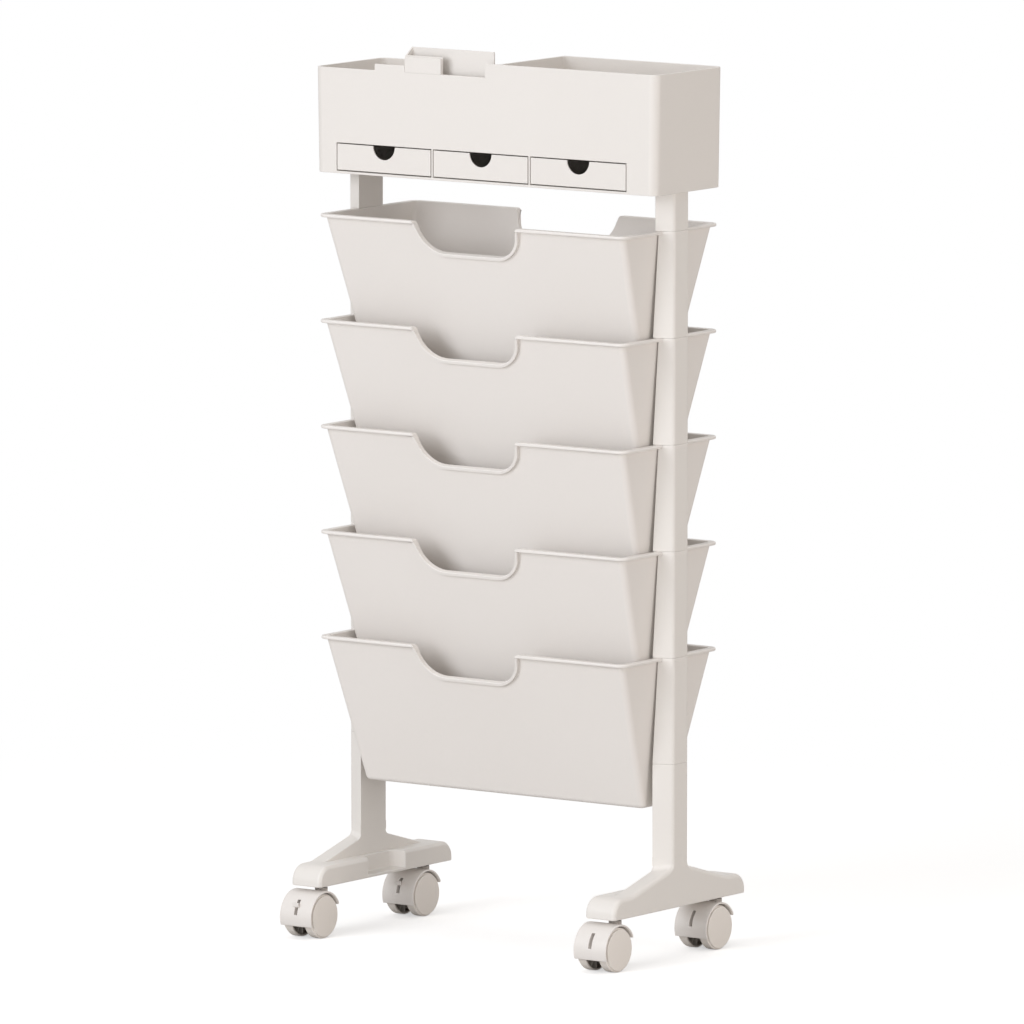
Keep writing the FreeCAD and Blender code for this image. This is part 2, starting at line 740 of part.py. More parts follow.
casters = []
for side, sign in (("left", -1), ("right", 1)):
    for end, depth in (("front", -1), ("rear", 1)):
        name = f"{end}_{side}"
        x = stem_x * sign
        y = stand_y + stem_y * depth
        axle_y = y - dim.caster_trail
        braked = side == "left"
        around_stem = [caster_stem(f"{name}_caster_stem"), caster_hood(f"{name}_caster_hood", braked)]
        if braked:
            around_stem.append(brake_lever(f"{name}_brake_lever"))
        for piece in around_stem:
            place(piece, x, y, 0)
        axle = caster_axle(f"{name}_caster_axle")
        place(axle, x, axle_y, axle_z)
        wheels = [caster_wheel(f"{name}_outer_wheel"), caster_wheel(f"{name}_inner_wheel")]
        for wheel, mirrored in zip(wheels, (sign < 0, sign > 0)):
            place(wheel, x, axle_y, axle_z, mirrored)
        casters += around_stem + [axle] + wheels


# Organizer: drawer bays below, open compartments above, sockets for the posts in its ends

org_half = post_outer + dim.org_overhang
bays_left = dim.bay_left - org_half
bays_right = org_half - dim.bay_right
bay_step = (bays_right - bays_left + dim.bay_rib) / dim.bay_count
bay_width = bay_step - dim.bay_rib


def bay_x(index):
    return bays_left + bay_width / 2 + bay_step * index


def organizer(label):
    body = new_body(label)
    half_y = dim.org_depth / 2
    half_high = org_half + dim.org_flare
    wedge("Additive", body, (-org_half, org_half, -half_y, half_y), Size.of(0),
          (-half_high, half_high, -half_y, half_y), dim.org_high)

    # two compartments, either side of the divider, rounded before the outer corners
    lean = dim.org_flare * dim.org_floor / dim.org_high
    inner_y = half_y - dim.org_wall
    half_rib = dim.org_wall / 2
    low_end = org_half + lean - dim.org_wall
    high_end = half_high - dim.org_wall
    left_face = dim.divider_x - half_rib
    right_face = dim.divider_x + half_rib
    wedge("Subtractive", body, (-low_end, left_face, -inner_y, inner_y), dim.org_floor,
          (-high_end, left_face, -inner_y, inner_y), dim.org_high)
    wedge("Subtractive", body, (right_face, low_end, -inner_y, inner_y), dim.org_floor,
          (right_face, high_end, -inner_y, inner_y), dim.org_high)
    round_edges(body, dim.org_inner_round,
                lambda edge: spans(edge)[2] > (dim.org_high - dim.org_floor).value - NEAR
                and spans(edge)[2] < dim.org_high.value - 1 and near(abs(edge.CenterOfMass.y), inner_y))

    round_edges(body, dim.org_round, lambda edge: spans(edge)[2] > dim.org_high.value - NEAR)

    # the left half is lower than the right, and the front wall steps up beside the pocket
    beyond = half_high + 1
    spare = dim.org_high - dim.org_low + 1
    low_back = new_sketch(body, "XY", dim.org_low)
    outline(low_back, [(-beyond, -inner_y), (left_face, -inner_y, dim.org_inner_round),
                       (left_face, half_y + 1), (-beyond, half_y + 1)])
    pocket(low_back, spare, reverse=True)
    front = new_sketch(body, "XZ", half_y)
    step = dim.org_low + dim.step_height
    outline(front, [(-beyond, dim.org_low), (dim.step_left, dim.org_low), (dim.step_left, step),
                    (dim.step_mid, step), (dim.step_mid, dim.org_low), (dim.step_right, dim.org_low),
                    (dim.step_right, dim.org_low + spare), (-beyond, dim.org_low + spare)])
    pocket(front, dim.org_round)

    # drawer bays
    bays = new_sketch(body, "XZ", half_y)
    for index in range(int(dim.bay_count.value)):
        middle = bay_x(index)
        rectangle(bays, middle - bay_width / 2, middle + bay_width / 2,
                  dim.bay_base, dim.bay_base + dim.bay_height)
    pocket(bays, dim.org_depth - dim.org_wall)

    # sockets over the posts' spigots
    for side in (-1, 1):
        socket = new_sketch(body, "XY")
        middle = spigot_x * side
        gap = dim.socket_gap
        rectangle(socket, middle - dim.spigot_width / 2 - gap, middle + dim.spigot_width / 2 + gap,
                  -dim.spigot_depth / 2 - gap, dim.spigot_depth / 2 + gap)
        pocket(socket, dim.spigot_reach + dim.socket_spare, reverse=True)
    place(body, 0, stand_y, org_bottom)
    return body


def drawer(label, index):
    """An open-topped drawer with a half-round finger cut in its front."""
    body = new_body(label)
    half = bay_width / 2 - dim.drawer_side_gap
    length = dim.org_depth - dim.org_wall - dim.drawer_back_gap
    height = dim.bay_height - dim.drawer_base_gap - dim.drawer_top_gap
    wall = dim.drawer_wall
    plan = new_sketch(body, "XY")
    rectangle(plan, -half, half, 0, length)
    pad(plan, height)
    hollow = new_sketch(body, "XY", height)
    rectangle(hollow, wall - half, half - wall, wall, length - wall)
    pocket(hollow, height - wall)
    finger = new_sketch(body, "XZ")
    circle(finger, 0, height, dim.finger_radius)
    pocket(finger, wall + wall / 2)
    place(body, bay_x(index), stand_y - dim.org_depth / 2,
          org_bottom + dim.bay_base + dim.drawer_base_gap)
    return body


def phone_pocket(label):
    """A narrow pocket that hangs behind the front wall and sits on its top edge."""
    body = new_body(label)
    wall = dim.pocket_wall
    face = -dim.org_depth / 2
    front = face + dim.org_wall + dim.pocket_gap
    back = front + dim.pocket_deep
    low = dim.org_low - dim.pocket_hang
    high = dim.org_low + dim.pocket_back_rise
    left = dim.step_mid - dim.pocket_lap
    right = dim.step_right + dim.pocket_lap
    notch = dim.step_mid + dim.pocket_plate
    plan = new_sketch(body, "XY", low)
    rectangle(plan, left, right, front, back)
    pad(plan, high - low)
    # the front plate over the wall's edge, flush with the organizer's face
    plate = new_sketch(body, "XY", dim.org_low)
    rectangle(plate, dim.step_mid + dim.pocket_gap, notch, face, front + wall / 2)
    pad(plate, dim.pocket_front_rise)
    hollow = new_sketch(body, "XY", high)
    rectangle(hollow, left + wall, right - wall, front + wall, back - wall)
    pocket(hollow, high - low - wall)
    # the ends slope down from the back to the front plate
    slope = new_sketch(body, "YZ", left)
    plate_top = dim.org_low + dim.pocket_front_rise
    outline(slope, [(front - 1, plate_top), (front, plate_top), (back - wall, high),
                    (back - wall, high + 1), (front - 1, high + 1)])
    pocket(slope, right - left, reverse=True)
    # the right end stays hidden behind the organizer's higher front wall
    low_end = new_sketch(body, "YZ", right - wall)
    rectangle(low_end, front - 1, back - wall, dim.org_low + dim.step_height, high + 1)
    pocket(low_end, wall + 1, reverse=True)
    gap = new_sketch(body, "XZ", -front + 1)
    rectangle(gap, notch, right - wall, dim.org_low, high + 1)
    pocket(gap, wall + 1 + wall / 2)
    place(body, 0, stand_y, org_bottom)
    return body


top_pieces = [organizer("organizer_body")]
top_pieces += [drawer(f"{name}_drawer", index) for index, name in enumerate(("left", "middle", "right"))]
top_pieces.append(phone_pocket("phone_pocket"))


# Check and write every piece

doc.recompute()
broken = [item.Label for item in doc.Objects if "Invalid" in item.State or "Error" in item.State]
if broken:
    raise RuntimeError(f"not built: {broken}")
pieces = posts + bins + feet + casters + top_pieces
for piece in pieces:
    if piece.Shape.isNull() or not piece.Shape.isValid() or len(piece.Shape.Solids) != 1:
        raise RuntimeError(f"{piece.Label} is not one sound solid")
os.makedirs("parts", exist_ok=True)
for piece in pieces:
    piece.Shape.exportStep(f"parts/{piece.Label}.step")
print(len(pieces), "pieces,", round(sum(piece.Shape.Volume for piece in pieces) / 1000), "cm3")
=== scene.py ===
import json
import math

import bmesh
import bpy
from mathutils import Matrix, Vector


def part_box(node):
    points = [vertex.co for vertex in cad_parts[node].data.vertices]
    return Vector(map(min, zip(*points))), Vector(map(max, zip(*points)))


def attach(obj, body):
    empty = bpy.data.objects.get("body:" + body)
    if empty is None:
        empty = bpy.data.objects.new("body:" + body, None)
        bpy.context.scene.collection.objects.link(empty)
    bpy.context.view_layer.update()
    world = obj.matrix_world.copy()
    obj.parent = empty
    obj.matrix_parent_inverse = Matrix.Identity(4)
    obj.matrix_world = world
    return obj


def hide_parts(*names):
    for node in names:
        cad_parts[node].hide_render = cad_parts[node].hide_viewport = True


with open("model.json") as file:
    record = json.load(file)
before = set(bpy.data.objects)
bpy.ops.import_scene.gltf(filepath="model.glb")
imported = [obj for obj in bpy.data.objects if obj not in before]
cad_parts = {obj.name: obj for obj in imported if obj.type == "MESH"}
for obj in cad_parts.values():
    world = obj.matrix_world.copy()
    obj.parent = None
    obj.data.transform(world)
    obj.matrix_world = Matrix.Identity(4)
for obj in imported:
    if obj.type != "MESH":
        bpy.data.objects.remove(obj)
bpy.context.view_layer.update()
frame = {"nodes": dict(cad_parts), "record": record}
mm = 0.001
slack = 0.1 * mm  # two heights or places as near as this count as one


# camera, floor and light, as in a plain studio

view = {
    "azimuth": 35.68,            # degrees to the right of the front
    "elevation": 7.22,
    "aim": (0, 9.25, 500),       # millimetres
    "distance": 14318,
    "picture": 1024,             # pixels
    "focalPixels": 13315.8,
    "aimPixel": (517.84, 480.59),
    "sensor": 36,
    "farClip": 100,              # metres
}


def aimAt(obj, target):
    away = obj.location - Vector(target)
    obj.rotation_euler = away.to_track_quat("Z", "Y").to_euler()


def addCamera():
    picture = view["picture"]
    data = bpy.data.cameras.new("camera")
    data.sensor_width = view["sensor"]
    data.lens = view["focalPixels"] / picture * data.sensor_width
    data.shift_x = (picture / 2 - view["aimPixel"][0]) / picture
    data.shift_y = (view["aimPixel"][1] - picture / 2) / picture
    data.clip_end = view["farClip"]
    camera = bpy.data.objects.new("camera", data)
    bpy.context.scene.collection.objects.link(camera)
    az = math.radians(view["azimuth"])
    el = math.radians(view["elevation"])
    aim = Vector(view["aim"]) * mm
    back = Vector((math.sin(az) * math.cos(el), -math.cos(az) * math.cos(el), math.sin(el)))
    camera.location = aim + back * view["distance"] * mm
    aimAt(camera, aim)
    bpy.context.scene.camera = camera


class Wire:
    # one output of a shader node, with arithmetic on values
    def __init__(self, board, socket):
        self.board = board
        self.socket = socket

    def combine(self, operation, first, second):
        return self.board.add("ShaderNodeMath", {"operation": operation}, {0: first, 1: second})

    def __add__(self, other):
        return self.combine("ADD", self, other)

    def __sub__(self, other):
        return self.combine("SUBTRACT", self, other)

    def __rsub__(self, other):
        return self.combine("SUBTRACT", other, self)

    def __mul__(self, other):
        return self.combine("MULTIPLY", self, other)

    def __gt__(self, other):
        return self.combine("GREATER_THAN", self, other)

    __radd__ = __add__
    __rmul__ = __mul__


class Board:
    # the node tree of a material or of the world
    def __init__(self, owner):
        owner.use_nodes = True
        self.tree = owner.node_tree
        self.tree.nodes.clear()

    def add(self, kind, settings=None, sockets=None, out=0):
        node = self.tree.nodes.new(kind)
        for key, value in (settings or {}).items():
            setattr(node, key, value)
        for key, value in (sockets or {}).items():
            if isinstance(value, Wire):
                self.tree.links.new(value.socket, node.inputs[key])
            else:
                node.inputs[key].default_value = value
        return Wire(self, node.outputs[out]) if len(node.outputs) else None

    def noise(self, place, scale, detail):
        return self.add("ShaderNodeTexNoise", None, {"Vector": place, "Scale": scale, "Detail": detail})

    def blend(self, share, first, second):
        # 6 and 7 are the sockets for colours, and 2 is the mixed colour
        return self.add("ShaderNodeMix", {"data_type": "RGBA"}, {0: share, 6: first, 7: second}, out=2)


def addStage():
    studio = {
        "floorColour": (0.86, 0.86, 0.86, 1),
        "floorLift": 0.45,                     # a glow that brings the paper up to white
        "floorSize": 60,
        "fadeFrom": 0.5,                       # metres from the middle, where the shadow starts to fade
        "fadeTo": 1.6,
        "bounceColour": (0.62, 0.6, 0.58, 1),  # the floor as the bookcase sees it
        "ambient": (1.02, 1.0, 0.985, 1),
        "ambientStrength": 0.43,
        "backdrop": (1, 1, 1, 1),
        "backdropStrength": 1.0,
    }
    bm = bmesh.new()
    bmesh.ops.create_grid(bm, x_segments=2, y_segments=2, size=studio["floorSize"] / 2)
    mesh = bpy.data.meshes.new("floor")
    bm.to_mesh(mesh)
    bm.free()
    floor = bpy.data.objects.new("floor", mesh)
    bpy.context.scene.collection.objects.link(floor)
    paper = bpy.data.materials.new("floorPaper")
    board = Board(paper)
    seen = board.add("ShaderNodeLightPath", out="Is Camera Ray")
    place = board.add("ShaderNodeTexCoord", out="Object")
    reach = board.add("ShaderNodeVectorMath", {"operation": "LENGTH"}, {0: place}, out="Value")
    far = board.add("ShaderNodeMapRange", {"interpolation_type": "SMOOTHSTEP"},
                    {"Value": reach, "From Min": studio["fadeFrom"], "From Max": studio["fadeTo"]})
    dim = board.add("ShaderNodeBsdfDiffuse", None, {"Color": studio["bounceColour"]})
    matte = board.add("ShaderNodeBsdfDiffuse", None, {"Color": studio["floorColour"]})
    lift = board.add("ShaderNodeEmission", None, {"Strength": studio["floorLift"]})
    near = board.add("ShaderNodeAddShader", None, {0: matte, 1: lift})
    white = board.add("ShaderNodeEmission", None, {"Strength": studio["backdropStrength"]})
    shown = board.add("ShaderNodeMixShader", None, {0: far, 1: near, 2: white})
    mixed = board.add("ShaderNodeMixShader", None, {0: seen, 1: dim, 2: shown})
    board.add("ShaderNodeOutputMaterial", None, {"Surface": mixed})
    mesh.materials.append(paper)

    world = bpy.data.worlds.new("studio")
    bpy.context.scene.world = world
    board = Board(world)
    rays = board.add("ShaderNodeLightPath").socket.node
    bright = sum((Wire(board, rays.outputs[name]) for name in ("Is Glossy Ray", "Is Transmission Ray")),
                 Wire(board, rays.outputs["Is Camera Ray"]))
    soft = board.add("ShaderNodeBackground", None,
                     {"Color": studio["ambient"], "Strength": studio["ambientStrength"]})
    white = board.add("ShaderNodeBackground", None,
                      {"Color": studio["backdrop"], "Strength": studio["backdropStrength"]})
    mixed = board.add("ShaderNodeMixShader", None, {0: bright, 1: soft, 2: white})
    board.add("ShaderNodeOutputWorld", None, {"Surface": mixed})


def addLamps():
    lamps = {
        "key": {"place": (-0.8, -3.7, 1.7), "size": 2.2, "power": 67, "colour": (0.98, 1.005, 1.045)},
        "lowFront": {"place": (0.4, -3.7, 0.35), "size": 1.0, "power": 12, "colour": (0.98, 1.005, 1.045)},
        "fill": {"place": (1.9, -3.2, 1.0), "size": 1.6, "power": 6, "colour": (1.0, 1.0, 1.0)},
        "right": {"place": (3.6, -0.2, 0.9), "size": 2.0, "power": 29, "colour": (1.05, 0.985, 0.935)},
        "top": {"place": (0.2, 0.2, 3.4), "size": 2.4, "power": 18, "colour": (1.02, 0.99, 0.97)},
    }
    waist = (0, 0, 0.5)  # where all of them point
    for name, lamp in lamps.items():
        data = bpy.data.lights.new(name, "AREA")
        data.shape = "DISK"
        data.size = lamp["size"]
        data.energy = lamp["power"]
        data.color = lamp["colour"]
        obj = bpy.data.objects.new(name, data)
        bpy.context.scene.collection.objects.link(obj)
        obj.location = lamp["place"]
        aimAt(obj, waist)


addCamera()
addStage()
addLamps()
bpy.context.scene.view_settings.view_transform = "Standard"
print("studio set")


# finishes

plastics = {
    "shell_plastic": {"colour": (0.842, 0.81, 0.774), "grain": 0.05, "roughness": 0.42, "scuff": 0.1},
    "organizer_plastic": {"colour": (0.828, 0.792, 0.756), "grain": 0.05, "roughness": 0.44, "scuff": 0.05},
    "bin_plastic": {"colour": (0.855, 0.818, 0.785), "grain": 0.06, "roughness": 0.46, "scuff": 0.08},
    "caster_plastic": {"colour": (0.838, 0.8, 0.768), "grain": 0.03, "roughness": 0.36, "scuff": 0.3},
    "wheel_plastic": {"colour": (0.895, 0.845, 0.795), "grain": 0.03, "roughness": 0.34, "scuff": 0.4},
}
plasticSkin = {
    "drift": (5.0, 2.0),                  # scale and detail of each noise
    "fleck": (260.0, 3.0),
    "grain": (1500.0, 2.0),
    "sink": (16.0, 1.0),
    "streak": (420.0, 2.0),
    "streakStretch": (1.0, 1.0, 0.06),
    "streakTurn": (0.2, 0.5, 0.3),
    "scratchFrom": 0.7,
    "dark": (0.975, 0.97, 0.96),          # shares of the plastic's own colour
    "light": (1.02, 1.02, 1.02),
    "edge": (1.035, 1.045, 1.055),
    "dust": (0.46, 0.43, 0.39, 1),
    # a dark brown painted shade, for hollows that lie in shade
    "paintedShadeColour": (0.1, 0.066, 0.042, 1),
    "toneDrift": 0.7,
    "toneFleck": 0.3,
    "polish": 0.5,
    "polishFleck": 0.6,
    "polishTint": 0.7,
    "dustThin": 0.04,
    "dustFleck": 0.25,
    "dustScratch": 0.4,
    "paintedShadeBase": 0.7,
    "paintedShadeDrift": 0.4,
    "roughDrop": 0.05,
    "roughDrift": 0.06,
    "roughGrain": 0.04,
    "roughPolish": 0.07,
    "roughDust": 0.3,
    "sinkHeight": 1.2,
    "scratchDepth": 0.3,
    "bump": 0.25,
    "bumpDistance": 0.0004,
    "refraction": 1.47,
}


def mouldedPlastic(name, look):
    skin = plasticSkin
    board = Board(bpy.data.materials.new(name))
    place = board.add("ShaderNodeTexCoord", out="Object")
    drift = board.noise(place, *skin["drift"])
    fleck = board.noise(place, *skin["fleck"])
    grain = board.noise(place, *skin["grain"])
    sink = board.noise(place, *skin["sink"])
    streaked = board.add("ShaderNodeMapping", None, {"Vector": place, "Scale": skin["streakStretch"],
                                                     "Rotation": skin["streakTurn"]})
    streak = board.noise(streaked, *skin["streak"])
    rubbed = board.add("ShaderNodeAttribute", {"attribute_name": "rubbed"}, out="Fac")
    trodden = board.add("ShaderNodeAttribute", {"attribute_name": "trodden"}, out="Fac")
    # a vertex layer that marks where painted shade goes: inside the wheels and on the hoods' necks
    grime = board.add("ShaderNodeAttribute", {"attribute_name": "grime"}, out="Fac")

    def tinted(tint):
        return (*(part * share for part, share in zip(look["colour"], tint)), 1)

    scratch = (streak > skin["scratchFrom"]) * look["scuff"] * drift
    polish = rubbed * (skin["polish"] + fleck * skin["polishFleck"])
    tone = drift * skin["toneDrift"] + fleck * skin["toneFleck"]
    soiled = trodden * (skin["dustThin"] + fleck * skin["dustFleck"]) + scratch * skin["dustScratch"]
    # painted shade, a little uneven, where that layer is set
    paintedShadeShare = grime * (skin["paintedShadeBase"] + drift * skin["paintedShadeDrift"])
    body = board.blend(tone, tinted(skin["dark"]), tinted(skin["light"]))
    worn = board.blend(polish * skin["polishTint"], body, tinted(skin["edge"]))
    dusty = board.blend(soiled, worn, skin["dust"])
    colour = board.blend(paintedShadeShare, dusty, skin["paintedShadeColour"])
    rough = (look["roughness"] - skin["roughDrop"] + drift * skin["roughDrift"] + grain * skin["roughGrain"]
             - polish * skin["roughPolish"] + soiled * skin["roughDust"])
    height = grain * look["grain"] + sink * skin["sinkHeight"] - scratch * skin["scratchDepth"]
    relief = board.add("ShaderNodeBump", None,
                       {"Height": height, "Strength": skin["bump"], "Distance": skin["bumpDistance"]})
    surface = board.add("ShaderNodeBsdfPrincipled", None,
                        {"Base Color": colour, "Roughness": rough, "Normal": relief, "IOR": skin["refraction"]})
    board.add("ShaderNodeOutputMaterial", None, {"Surface": surface})
    return bpy.data.materials[name]


def zincSteel():
    skin = {
        "lines": (60.0, 3.0),             # scale and detail of each noise
        "lineStretch": (1, 1, 40),
        "cloud": (140.0, 3.0),
        # both colours are far darker than bright zinc: painted shade, as the stem lies in the shade under the foot
        "dark": (0.08, 0.07, 0.058, 1),
        "light": (0.13, 0.115, 0.098, 1),
        "roughness": 0.42,
        "roughLines": 0.12,
        "bump": 0.2,
        "bumpDistance": 0.0001,
    }
    board = Board(bpy.data.materials.new("zincSteel"))
    place = board.add("ShaderNodeTexCoord", out="Object")
    stretched = board.add("ShaderNodeMapping", None, {"Vector": place, "Scale": skin["lineStretch"]})
    lines = board.noise(stretched, *skin["lines"])
    colour = board.blend(board.noise(place, *skin["cloud"]), skin["dark"], skin["light"])
    rough = skin["roughness"] + lines * skin["roughLines"]
    relief = board.add("ShaderNodeBump", None,
                       {"Height": lines, "Strength": skin["bump"], "Distance": skin["bumpDistance"]})
    surface = board.add("ShaderNodeBsdfPrincipled", None,
                        {"Base Color": colour, "Metallic": 1.0, "Roughness": rough, "Normal": relief})
    board.add("ShaderNodeOutputMaterial", None, {"Surface": surface})
    return bpy.data.materials["zincSteel"]


for stale in list(bpy.data.materials):
    if stale.name in plastics or stale.name == "steel":
        stale.name = "cad_" + stale.name
finish = {name: mouldedPlastic(name, look) for name, look in plastics.items()}
finish["steel"] = zincSteel()
nodeSlot = {item["node"]: item["material_slot"] for item in frame["record"]["subparts"]}
nodeBody = {node: body for body, members in frame["record"]["behaviour"]["bodies"].items() for node in members}
for node, obj in frame["nodes"].items():
    obj.data.materials.clear()
    obj.data.materials.append(finish[nodeSlot[node]])
print("finishes made:", len(finish))


# pieces

meshing = {
    "weld": 1e-6,        # metres
    "sliver": 2e-6,
    "flat": 0.6,         # degrees
    "crisp": 32,
    "shadedSharp": 38,
    "facing": 0.9,       # cosines that tell which way a face looks
    "leaning": 0.1,
    "edgeOn": 0.2,
    "upright": 0.05,
}


def settle(name, bm, node):
    # a finished mesh becomes a piece that stands for its node
    bmesh.ops.remove_doubles(bm, verts=bm.verts, dist=meshing["sliver"])
    bmesh.ops.dissolve_degenerate(bm, dist=meshing["sliver"], edges=bm.edges)
    mesh = bpy.data.meshes.new(name)
    bm.to_mesh(mesh)
    bm.free()
    mesh.shade_smooth()
    mesh.set_sharp_from_angle(angle=math.radians(meshing["shadedSharp"]))
    piece = bpy.data.objects.new(name, mesh)
    bpy.context.scene.collection.objects.link(piece)
    mesh.materials.append(finish[nodeSlot[node]])
    weighted = piece.modifiers.new("evenNormals", "WEIGHTED_NORMAL")
    weighted.keep_sharp = True
    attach(piece, nodeBody[node])
    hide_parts(node)


def mergedCopy(node):
    # a node's mesh with its flat faces whole again
    bm = bmesh.new()
    bm.from_mesh(frame["nodes"][node].data)
    bm.verts.layers.float.new("rubbed")
    bmesh.ops.remove_doubles(bm, verts=bm.verts, dist=meshing["weld"])
    bmesh.ops.dissolve_limit(bm, angle_limit=math.radians(meshing["flat"]), verts=bm.verts[:], edges=bm.edges[:])
    return bm


def sharpEdges(bm, chosen=None):
    crisp = [edge for edge in bm.edges if edge.calc_face_angle(0) > math.radians(meshing["crisp"])]
    return [edge for edge in crisp if chosen is None or chosen(edge)]


def breakEdges(bm, edges, width, segments=3):
    # round edges off; the middle of each rounding is where hands rub
    made = bmesh.ops.bevel(bm, geom=edges, offset=width * mm, offset_type="OFFSET", segments=segments, profile=0.5,
                           affect="EDGES", material=-1, clamp_overlap=False, loop_slide=True)
    rubbed = bm.verts.layers.float["rubbed"]
    rounding = set(made["faces"])
    for face in made["faces"]:
        for vert in face.verts:
            if rounding.issuperset(vert.link_faces):
                vert[rubbed] = 1.0


def atHeight(edge, z):
    return all(abs(vert.co.z - z) < 2 * slack for vert in edge.verts)


def bookBins():
    shape = {
        "bottom": 4.5,               # roundings
        "slantCorner": 2.4,
        "squareCorner": 3.4,
        "lip": 1.4,
        "tabTop": 0.9,
        "tab": 0.2,
        "edge": 0.8,
        "fine": 4,                   # segments of the large roundings
        "lipThick": 3.5,
        "tabHalf": 21.5,
        "rimHalf": 203.05,
        "rimCuts": (100, 187),
        "notchReach": 120.0,
        "squareFrom": 20.0,          # the notch's steep end lies between these
        "squareTo": 63.0,
        "squareDepth": 45,
        "squareOut": 4.0,
        "squareDraft": 0.356,
        "beadFrom": 3.0,             # what stands this far off the wall is the bead
        "beadTrim": 1.3,
        "beadFlare": 1.2,
    }
    first = "book_bin_1"
    low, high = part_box(first)
    middle = (low[1] + high[1]) / 2
    lipFoot = high[2] - shape["lipThick"] * mm
    bm = mergedCopy(first)

    def outerWall(facing):
        # the large leaning wall at the front or the back
        walls = [face for face in bm.faces if face.normal.y * facing > meshing["facing"]
                 and face.normal.z < -meshing["leaning"]]
        return max(walls, key=lambda face: face.calc_area())

    def isFlank(face, spot, out):
        # a side of the bead, which stands up from the wall
        edgeOn = abs(face.normal.dot(out)) < meshing["edgeOn"]
        return edgeOn and any(abs((vert.co - spot).dot(out)) < 3 * slack for vert in face.verts)

    for facing in (-1, 1):  # the bead is trimmed down to a slim one, and the notch's steep end gets some draft
        wall = outerWall(facing)
        spot = wall.calc_center_median()
        out = wall.normal.copy()
        for vert in bm.verts:
            if (vert.co - spot).dot(out) > shape["beadFrom"] * mm and vert.co.z < lipFoot - slack:
                flanks = [face.normal for face in vert.link_faces if isFlank(face, spot, out)]
                flare = sum(flanks, Vector()) * shape["beadFlare"] / max(len(flanks), 1)
                vert.co += (flare - out * shape["beadTrim"]) * mm
            along = -vert.co.x * facing / mm
            depth = (high[2] - vert.co.z) / mm
            steep = shape["squareFrom"] < along < shape["squareTo"] and depth < shape["squareDepth"]
            if steep and (vert.co.y - middle) * facing > 0:
                vert.co.x -= (shape["squareOut"] - shape["squareDraft"] * depth) * facing * mm

    def cut(spot, across, floor):
        # a cut through the faces that lie wholly above the floor
        chosen = [face for face in bm.faces if min(vert.co.z for vert in face.verts) > floor - slack]
        geom = list({item for face in chosen for item in [*face.verts, *face.edges, face]})
        bmesh.ops.bisect_plane(bm, geom=geom, dist=meshing["weld"], plane_co=spot, plane_no=across)

    for side in (-1, 1):  # the lip's rounding stops short of the tabs, and the rim's top is cut into short lengths
        cut((0, middle + side * shape["tabHalf"] * mm, 0), (0, 1, 0), lipFoot)
        for across in shape["rimCuts"]:
            cut((side * across * mm, 0, 0), (1, 0, 0), high[2])

    def onBottom(edge):
        return atHeight(edge, low[2])

    def onLip(edge):
        if not (atHeight(edge, high[2]) or atHeight(edge, lipFoot)):
            return False
        if any(abs(vert.co.y - middle) < shape["tabHalf"] * mm - slack for vert in edge.verts):
            return False
        return any(abs(face.normal.z) < meshing["upright"]
                   and min(vert.co.z for vert in face.verts) > lipFoot - slack for face in edge.link_faces)

    def onNotch(edge, slanted):
        # an edge across the rim, at one of the notch's upper corners
        spot = edge.verts[0].co
        run = spot - edge.verts[1].co
        inside = abs(spot.x) < shape["notchReach"] * mm and (spot.x * (spot.y - middle) > 0) == slanted
        return inside and atHeight(edge, high[2]) and abs(run.y) > max(2 * abs(run.x), mm)

    def onTab(edge):
        return any(abs(vert.co.x) > shape["rimHalf"] * mm for vert in edge.verts)

    fine = shape["fine"]
    breakEdges(bm, sharpEdges(bm, onBottom), shape["bottom"], fine)
    breakEdges(bm, sharpEdges(bm, lambda edge: onNotch(edge, True)), shape["slantCorner"], fine)
    breakEdges(bm, sharpEdges(bm, lambda edge: onNotch(edge, False)), shape["squareCorner"], fine)
    breakEdges(bm, sharpEdges(bm, onLip), shape["lip"], fine)
    breakEdges(bm, sharpEdges(bm, lambda edge: onTab(edge) and atHeight(edge, high[2])), shape["tabTop"])
    breakEdges(bm, sharpEdges(bm, onTab), shape["tab"])
    breakEdges(bm, sharpEdges(bm, lambda edge: not onTab(edge)), shape["edge"])
    bmesh.ops.recalc_face_normals(bm, faces=bm.faces)
    for node in [name for name in frame["nodes"] if name.startswith("book_bin")]:
        copy = bm.copy()
        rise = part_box(node)[0][2] - low[2]
        bmesh.ops.translate(copy, vec=(0, 0, rise), verts=copy.verts)
        settle(node + "_moulded", copy, node)
    bm.free()


roundings = {
    "post": {"width": 1.0, "foot": 0.9, "ends": 0.2},
    "leg": {"width": 1.0, "ends": 0.7},
    "foot": {"width": 1.4},
    "organizer": {"width": 0.6},
    "pocket": {"width": 0.35},
    "flush": {"width": 0.1, "segments": 1},
}


